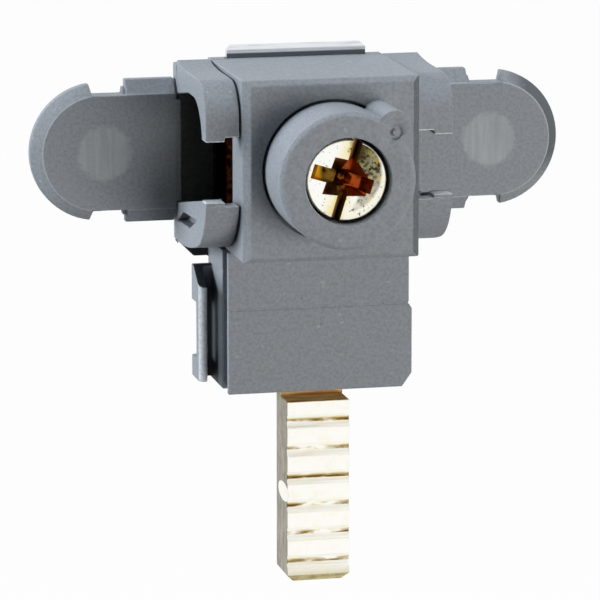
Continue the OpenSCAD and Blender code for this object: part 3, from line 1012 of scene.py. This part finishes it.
@dataclass
class Flap:
    """One end flap, spread open on its film hinge."""

    side: Side
    plastic: Finish = MouldedPolyamide("moulded polyamide, flaps", mark_r=DISH_R)
    # painted highlight along the front edge of each flap's rim
    rim_highlight: Finish = MouldedPolyamide("moulded polyamide, painted rim highlight", "#a3a8ad", "#9ba0a5",
                                         roughness=0.4)
    # painted shade: the right flap's rim is drawn darker at its upper right, where it turns away from the
    # light
    shaded: Finish = MouldedPolyamide("moulded polyamide, painted shade on rim", shade="#5c6165")
    slope: Region = Region(lean_x=over(0.05), lean_y=(-0.97, -0.2))
    rim_lean: Span = (-0.97, -0.76)
    rim_depth: float = 0.12
    ease: float = 0.08
    film_t: float = 0.24
    film_h: float = 7.2
    film_grip: float = 0.22
    film_sink: float = 0.02
    film_round: float = 0.2

    @property
    def body(self) -> Body:
        """The body that this flap is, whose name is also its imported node's."""
        return Body.LEFT_FLAP if self.side is Side.LEFT else Body.RIGHT_FLAP

    def build(self) -> list[Object]:
        """Softens the flap and models its film hinge.

        Returns:
            The flap and the film.
        """
        node = self.body.value
        low, high = corners(node)
        rim = Region(y=under(low.y + self.rim_depth), lean_y=self.rim_lean)
        flap = dress(softened(node, node + "_moulding", self.ease), self.body, self.plastic)
        # painted shade on the right flap's rim
        if self.side is Side.RIGHT:
            paint(flap, self.shaded, lambda c, n: self.slope(c, n) and not self.in_dish(c))
        # painted highlight along the rim's front edge
        paint(flap, self.rim_highlight, lambda c, n: rim(c, n) and not self.in_dish(c))
        return [flap, self.build_film(low, high)]

    def in_dish(self, point: Vector) -> bool:
        """Tells whether a point in millimetres lies within the dish's circle."""
        return math.hypot(abs(point.x) - DISH_X, point.z - AXIS_Z) < DISH_R

    def build_film(self, low: Vector, high: Vector) -> Object:
        """Models the thin web that joins the flap to the rear wall.

        Args:
            low: the flap's lowest corner in millimetres.
            high: the flap's highest corner in millimetres.

        Returns:
            The film.
        """
        wall_x = self.side.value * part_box("rear_shell")[1].x / MM
        root_x = low.x if self.side is Side.RIGHT else high.x
        start_x = wall_x - self.side.value * self.film_grip
        end_x = root_x + self.side.value * self.film_grip
        film_y = low.y + self.film_sink + self.film_t / 2
        middle = Vector(((start_x + end_x) / 2, film_y, (low.z + high.z) / 2))
        size = (abs(end_x - start_x), self.film_t, self.film_h)
        film = block(self.body.value + "_hinge_film", middle, size)
        with editing(film, "FACE", everything=True):
            bpy.ops.mesh.subdivide(number_cuts=7)
        soften(film, self.film_t * self.film_round, segments=2, sharper_than=60)
        coat(film, self.plastic)
        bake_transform(film)
        return film


@dataclass
class Clamp:
    """The brass cage and the pressure plate."""

    # painted shade: the cage's brass is drawn dark brown, and near black beyond 5.3 mm from the middle, as
    # it lies in the tunnel's shade
    brass: Finish = WorkedBrass("sawn brass profile", "#8a5428", "#2a140a", (0.5, 0.5, 0.4),
                                tarnish_share=0.55, shade_black_x=5.34)
    steel: Finish = ZincPlating("bright zinc on steel strip")
    ease: float = 0.08

    def build(self) -> list[Object]:
        """Softens the clamp's pieces.

        Returns:
            The new pieces.
        """
        cage = softened("clamp_cage", "clamp_cage_profile", self.ease)
        plate = softened("pressure_plate", "pressure_plate_blank", self.ease)
        dress(cage, Body.HOUSING, self.brass)
        dress(plate, Body.PLATE, self.steel)
        return [cage, plate]


@dataclass
class ClampScrew:
    """The turned brass screw with its slot, cross recess and thread."""

    land: Finish = WornHead("turned brass, worn head")
    rim: Finish = WorkedBrass("turned brass rim", "#fffbec", "#cfc394", (0.8, 0.8, 0.8), 0.4, 0.3)
    recess: Finish = LitAndShadedRecess("struck brass recess, painted light and shade")
    head_r: float = 2.8
    head_t: float = 1.9
    head_ease: float = 0.12
    root_r: float = 2.1
    crest_r: float = 2.47
    pitch: float = 0.8
    shank_end: float = -2.5
    spigot_r: float = 1.4
    rivet_r: float = 1.95
    rivet_t: float = 0.3
    plate_back: float = -1.6
    slot_w: float = 0.7
    slot_depth: float = 1.1
    slot_draw: float = 1.0
    turn: float = 17.0
    arm_l: float = 5.3
    arm_w: float = 1.1
    arm_depth: float = 1.25
    arm_off: float = -0.32
    arm_draw: float = 0.6
    wall_draw: float = 0.8
    # how far the tools of the slot and the arms stand out of the head, and that of the core
    stick_out: float = 1.0
    core_out: float = 0.3
    core_tip_r: float = 0.25
    core_depth: float = 1.8
    core: tuple[Span, ...] = ((-1.4, -1.35), (0.1, -1.1), (1.6, -0.7), (1.5, 0.45), (0.4, 1.4),
                              (-1.25, 1.32))
    recess_ease: float = 0.05
    recess_angle: float = 40.0
    # the thread's run-out at both ends, in pitches, and its ridge
    run_out: Span = (0.6, 0.3)
    ridge_sink: float = 0.05
    ridge_width: float = 0.85

    @cached_property
    def face_y(self) -> float:
        """The head's front plane."""
        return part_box("clamp_screw")[0].y / MM

    def build(self) -> list[Object]:
        """Turns the screw, cuts its recess and winds its thread.

        Returns:
            The screw and its thread.
        """
        screw = self.turn_blank()
        coat(screw, self.land)
        slot_l = 2 * self.head_r + self.stick_out
        slot = self.box_cutter((self.slot_w, self.slot_depth, slot_l), self.slot_draw)
        arms = self.box_cutter((self.arm_l, self.arm_depth, self.arm_w), self.arm_draw, self.arm_off)
        for cutter in (slot, arms, self.core_cutter()):
            cut(screw, cutter, self.recess)
        apply_modifier(screw, "BEVEL", width=self.recess_ease * MM, segments=2, limit_method="ANGLE",
                       angle_limit=math.radians(self.recess_angle))
        smooth(screw)
        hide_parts("clamp_screw")
        rim_r = self.head_r - self.head_ease
        head_end = self.face_y + self.head_t
        paint(screw, self.rim, lambda c, n: math.hypot(c.x, c.z - AXIS_Z) > rim_r and c.y < head_end)
        return [dress(screw, Body.SCREW, self.land), self.wind_thread()]

    def turn_blank(self) -> Object:
        """Turns head, shank, spigot and rivet from one cylinder.

        Returns:
            The blank with an eased front rim.
        """
        middle_y = self.face_y + self.head_t / 2
        blank = added("clamp_screw_turned", bpy.ops.mesh.primitive_cylinder_add, vertices=96,
                      radius=self.head_r * MM, depth=self.head_t * MM, rotation=ALONG_Y,
                      location=(0, middle_y * MM, AXIS_Z * MM))
        bpy.ops.object.transform_apply()
        rivet_y = self.plate_back - self.rivet_t
        grow = self.rivet_r / self.spigot_r
        pick_faces(blank, lambda c, n: n.y > SQUARE)
        with editing(blank, "FACE"):
            bpy.ops.mesh.inset(thickness=(self.head_r - self.root_r) * MM)
            self.pull(self.shank_end - self.face_y - self.head_t)
            bpy.ops.mesh.inset(thickness=(self.root_r - self.spigot_r) * MM)
            self.pull(rivet_y - self.shank_end)
            self.pull(0)
            bpy.ops.transform.resize(value=(grow, 1, grow), center_override=(0, rivet_y * MM, AXIS_Z * MM))
            self.pull(self.rivet_t)
        round_edges(blank, self.head_ease, 4, lambda a, b: max(a.y, b.y) < self.face_y + NEAR)
        return blank

    def pull(self, length: float) -> None:
        """Extrudes the selected face along the screw's axis by a length in millimetres."""
        bpy.ops.mesh.extrude_region_move(TRANSFORM_OT_translate={"value": (0, length * MM, 0)})

    def turn_tool(self, centre: Vector) -> None:
        """Turns what is selected about a point in metres to the recess's direction."""
        bpy.ops.transform.rotate(value=-math.radians(self.turn), orient_axis="Y", center_override=centre)

    def box_cutter(self, size: Triple, draw: float, off: float = 0.0) -> Object:
        """Models a tapered block that sinks into the head.

        Args:
            size: its width, how deep it sinks, and its height.
            draw: how far its inner end is drawn together along the longer side.
            off: how far it stands off the axis, along its width.

        Returns:
            The block, turned to the recess's direction.
        """
        width, depth, height = size
        middle = Vector((0, self.face_y + depth / 2 - self.stick_out / 2, AXIS_Z))
        tool = block("recess_tool", middle, (width, depth + self.stick_out, height))
        draws = (draw, 1, self.wall_draw) if width > height else (self.wall_draw, 1, draw)
        pick_faces(tool, lambda c, n: n.y > SQUARE)
        with editing(tool, "FACE"):
            bpy.ops.transform.resize(value=draws, center_override=middle * MM)
            bpy.ops.mesh.select_all(action="SELECT")
            bpy.ops.transform.translate(value=(off * MM, 0, 0))
            self.turn_tool(middle * MM)
        return tool

    def core_cutter(self) -> Object:
        """Models the worn tool that strikes the uneven middle of the recess.

        Returns:
            The tool: a pyramid whose corners stand where the recess's corners are.
        """
        spot = Vector((0, self.face_y + self.core_depth / 2, AXIS_Z)) * MM
        tool = added("recess_core", bpy.ops.mesh.primitive_cone_add, vertices=len(self.core),
                     radius1=MM, radius2=self.core_tip_r * MM, depth=self.core_depth * MM,
                     location=spot, rotation=ALONG_Y)
        bpy.ops.object.transform_apply()
        ring = [v.index for v in tool.data.vertices if v.co.y < spot.y]
        ring.sort(key=lambda i: math.atan2(tool.data.vertices[i].co.z - spot.z, tool.data.vertices[i].co.x))
        for index, corner in zip(ring, self.core):
            clear_picks(tool.data)
            tool.data.vertices[index].select = True
            goal = Vector((corner[0], self.face_y, AXIS_Z + corner[1])) * MM
            step = goal - tool.data.vertices[index].co
            with editing(tool, "VERT"):
                bpy.ops.transform.translate(value=step)
        pick_faces(tool, lambda c, n: n.y < -SQUARE)
        with editing(tool, "FACE"):
            self.pull(-self.core_out)
            bpy.ops.mesh.select_all(action="SELECT")
            self.turn_tool(spot)
            bpy.ops.mesh.normals_make_consistent(inside=False)
        return tool

    def wind_thread(self) -> Object:
        """Winds the thread's ridge round the shank.

        Returns:
            The ridge.
        """
        start = self.face_y + self.head_t + self.run_out[0] * self.pitch
        turns = int((self.shank_end - start - self.run_out[1] * self.pitch) / self.pitch)
        # a triangle is one and a half times as tall as the radius of the circle round it
        radius = (self.crest_r - self.root_r + self.ridge_sink) / 1.5
        ridge = added("clamp_screw_thread", bpy.ops.mesh.primitive_circle_add, vertices=3,
                      radius=radius * MM)
        with editing(ridge, "VERT", everything=True):
            bpy.ops.transform.rotate(value=math.pi / 2, orient_axis="Z", center_override=ORIGIN)
        side = math.copysign(1, max(ridge.data.vertices, key=lambda v: abs(v.co.x)).co.x)
        with editing(ridge, "VERT", everything=True):
            bpy.ops.transform.resize(value=(side, self.ridge_width, 1), center_override=ORIGIN)
            bpy.ops.transform.translate(value=((self.crest_r - radius) * MM, 0, 0))
        apply_modifier(ridge, "SCREW", axis="Y", screw_offset=self.pitch * MM, iterations=turns, steps=40,
                       render_steps=40)
        ridge.location = Vector((0, start, AXIS_Z)) * MM
        select_only(ridge)
        bpy.ops.object.transform_apply()
        with editing(ridge, "FACE", everything=True):
            bpy.ops.mesh.remove_doubles(threshold=MERGE_ROUNDED * MM)
            bpy.ops.mesh.normals_make_consistent(inside=False)
        return dress(ridge, Body.SCREW, self.land)


@dataclass
class Contact:
    """The brass bar whose lower end is the plug-in pin, and the plated locking plate behind the box."""

    bright: Finish = GripBrass("bright rolled brass")
    sheared: Finish = WorkedBrass("sheared brass edge", "#b4afa2", "#938d7e", (0.4, 0.4, 1.2), roughness=0.5)
    # painted light: the neck under the cover is drawn pale and barely metallic, so it shows lit though
    # little light reaches it
    neck: Finish = WorkedBrass("brass neck, painted light", "#ffe0a0", "#cc8e40", (3.0, 0.5, 0.3), roughness=0.55,
                               metallic=0.15)
    tip: Finish = WorkedBrass("worn brass tip", "#c4b88a", "#9b8f60", (0.8, 0.4, 0.4))
    # painted highlight: the grooves' lower lips are drawn pale and barely metallic, so they show no dark
    # reflection
    lip: Finish = WorkedBrass("rolled brass, painted highlight on groove lip", "#fffef7", "#fdf6e0", (1.5, 0.5, 0.3),
                              roughness=0.5, metallic=0.1)
    zinc: Finish = ZincPlating("bright zinc on steel strip")
    # painted shadow: the strip's front is drawn dark below 23.12 mm, where it sinks into the shade of its
    # slot
    zinc_gap_shadow: Finish = ZincPlating("bright zinc, painted shadow at root", gap_shadow_z=23.12)
    pin_ease: float = 0.07
    side_lean: float = 0.8
    # the neck begins just under the ledge, and the grooves with their lips begin below it
    neck_z: float = -0.82
    lip_z: float = -1.08
    lip_lean: Span = (0.15, 0.5)
    lip_front: float = -0.5
    tip_h: float = 0.6
    tip_lean: float = -0.25
    nick_at: Triple = (-2.55, -0.45, -7.5)
    nick_r: Triple = (0.5, 2.1, 0.85)
    roll: float = 0.4
    strip_ease: float = 0.05
    strip_front: Region = Region(lean_y=under(-0.2))

    def build(self) -> list[Object]:
        """Builds the bar and the plate."""
        return [self.build_bar(), self.build_plate()]

    def build_bar(self) -> Object:
        """Softens the bar, gives its faces their finishes and sinks the nick.

        Returns:
            The bar.
        """
        bar = copy_of("contact_bar", "contact_bar_stamping")
        soften(bar, self.pin_ease)
        tip_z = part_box("contact_bar")[0].z / MM + self.tip_h
        coat(bar, self.bright)
        paint(bar, self.sheared, lambda c, n: abs(n.x) > self.side_lean)
        paint(bar, self.neck, Region(z=over(self.neck_z)))
        paint(bar, self.tip, Region(z=under(tip_z), lean_z=under(self.tip_lean)))
        # painted highlight on the grooves' lower lips
        lips = Region(z=(tip_z, self.lip_z), lean_y=under(self.lip_front), lean_z=self.lip_lean)
        paint(bar, self.lip, lips)
        self.sink_nick(bar)
        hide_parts("contact_bar")
        return dress(bar, Body.HOUSING, self.bright)

    def build_plate(self) -> Object:
        """Rolls the locking plate's upper front edge, softens the rest and paints shadow at its root.

        Returns:
            The plate.
        """
        plate = copy_of("locking_plate", "locking_plate_strip")
        low, high = corners("locking_plate")
        round_edges(plate, self.roll, 5,
                    lambda a, b: min(a.z, b.z) > high.z - NEAR and max(a.y, b.y) < low.y + NEAR)
        soften(plate, self.strip_ease)
        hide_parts("locking_plate")
        dress(plate, Body.HOUSING, self.zinc)
        paint(plate, self.zinc_gap_shadow, self.strip_front)
        return plate

    def sink_nick(self, bar: Object) -> None:
        """Sinks the bright nick into the pin's left front edge.

        Args:
            bar: the softened bar.
        """
        ball = added("nick_ball", bpy.ops.mesh.primitive_uv_sphere_add, segments=32, ring_count=18, radius=1,
                     location=Vector(self.nick_at) * MM)
        ball.scale = Vector(self.nick_r) * MM
        cut(bar, ball, self.bright)
        smooth(bar)


@dataclass(frozen=True)
class Lamp:
    """A soft square lamp that faces the object and stands in a direction from it."""

    name: str
    direction: Triple
    distance: float
    size: float
    watts: float
    colour: str

    def build(self, target: Vector) -> None:
        """Adds the lamp, which neither the camera nor a mirror sees.

        Args:
            target: the point that it faces, in millimetres.
        """
        toward = Vector(self.direction).normalized()
        bpy.ops.object.light_add(type="AREA", location=(target + toward * self.distance) * MM)
        lamp = bpy.context.active_object
        lamp.name = self.name
        lamp.rotation_euler = toward.to_track_quat("Z", "Y").to_euler()
        lamp.data.size = self.size * MM
        lamp.data.energy = self.watts
        lamp.data.color = linear(self.colour)[:3]
        lamp.visible_camera = False
        lamp.visible_glossy = False


@dataclass
class Studio:
    """Floor, white surroundings, soft lamps and the camera of the photograph."""

    paper: Finish = StudioPaper("matt white studio paper")
    floor_z: float = -150.0
    floor_half: float = 1500.0
    dim: str = "#e6edf4"
    dim_strength: float = 0.015
    white: str = "#ffffff"
    lamps: tuple[Lamp, ...] = (
        Lamp("key_lamp", (0.46, -0.86, -0.22), 400, 290, 2.05, "#fffdfa"),
        Lamp("left_lamp", (-0.96, 0.14, 0.20), 420, 240, 2.75, "#e8edf2"),
        Lamp("top_lamp", (0.06, 0.08, 0.99), 420, 300, 2.1, "#e8edf2"),
        Lamp("back_lamp", (0.20, 0.97, -0.12), 420, 260, 1.7, "#fffdfa"),
    )
    target: Triple = (0.0, 0.0, 8.0)
    azimuth: float = 12.821
    elevation: float = 11.273
    roll: float = -0.045
    shift: Span = (-0.906, -1.844)
    distance: float = 318.283
    clip_start: float = 10.0
    focal_px: float = 4519.052
    image_px: int = 600
    sensor: float = 36.0

    def build(self) -> None:
        """Sets up everything round the object."""
        bpy.context.scene.view_settings.view_transform = "Standard"
        self.build_floor()
        self.build_world()
        for lamp in self.lamps:
            lamp.build(Vector(self.target))
        self.place_camera()

    def build_floor(self) -> None:
        """Lays the pale floor, which looks white to the camera and keeps the object's shadow."""
        floor = added("floor", bpy.ops.mesh.primitive_plane_add, size=2 * self.floor_half * MM,
                      location=(0, 0, self.floor_z * MM))
        coat(floor, self.paper)

    def build_world(self) -> None:
        """Makes the surroundings white to the eye and to mirrors, and dim as a light."""
        world = bpy.data.worlds.new("white_room")
        bpy.context.scene.world = world
        world.use_nodes = True
        graph = NodeGraph(world.node_tree)
        seen = graph.ray_is("Camera", "Glossy", "Transmission")
        dim = graph.add("ShaderNodeBackground", {"Color": linear(self.dim), "Strength": self.dim_strength})
        white = graph.add("ShaderNodeBackground", {"Color": linear(self.white), "Strength": 1.0})
        graph.close("ShaderNodeOutputWorld", graph.blend(seen, dim, white))

    def place_camera(self) -> None:
        """Stands the camera where the photograph was taken from."""
        a, e = math.radians(self.azimuth), math.radians(self.elevation)
        right = Vector((math.cos(a), -math.sin(a), 0))
        up = Vector((math.sin(a) * math.sin(e), math.cos(a) * math.sin(e), math.cos(e)))
        ahead = Vector((math.sin(a) * math.cos(e), math.cos(a) * math.cos(e), -math.sin(e)))
        place = Vector(self.target) + right * self.shift[0] + up * self.shift[1] - ahead * self.distance
        turn = Matrix((right, up, -ahead)).transposed().to_4x4()
        tilt = Matrix.Rotation(math.radians(self.roll), 4, "Z")
        bpy.ops.object.camera_add()
        camera = bpy.context.active_object
        camera.matrix_world = Matrix.Translation(place * MM) @ turn @ tilt
        camera.data.sensor_width = self.sensor
        camera.data.lens = self.focal_px / self.image_px * self.sensor
        camera.data.clip_start = self.clip_start * MM
        bpy.context.scene.camera = camera


def main() -> None:
    """Builds every sub-assembly in order and reports each piece."""
    logging.basicConfig(level=logging.INFO, format="%(name)s: %(message)s")
    for part in (Housing(), Flap(Side.LEFT), Flap(Side.RIGHT), Clamp(), ClampScrew(), Contact()):
        for piece in part.build():
            LOG.info("%s has %d faces", piece.name, len(piece.data.polygons))
    Studio().build()


if __name__ == "__main__":
    main()
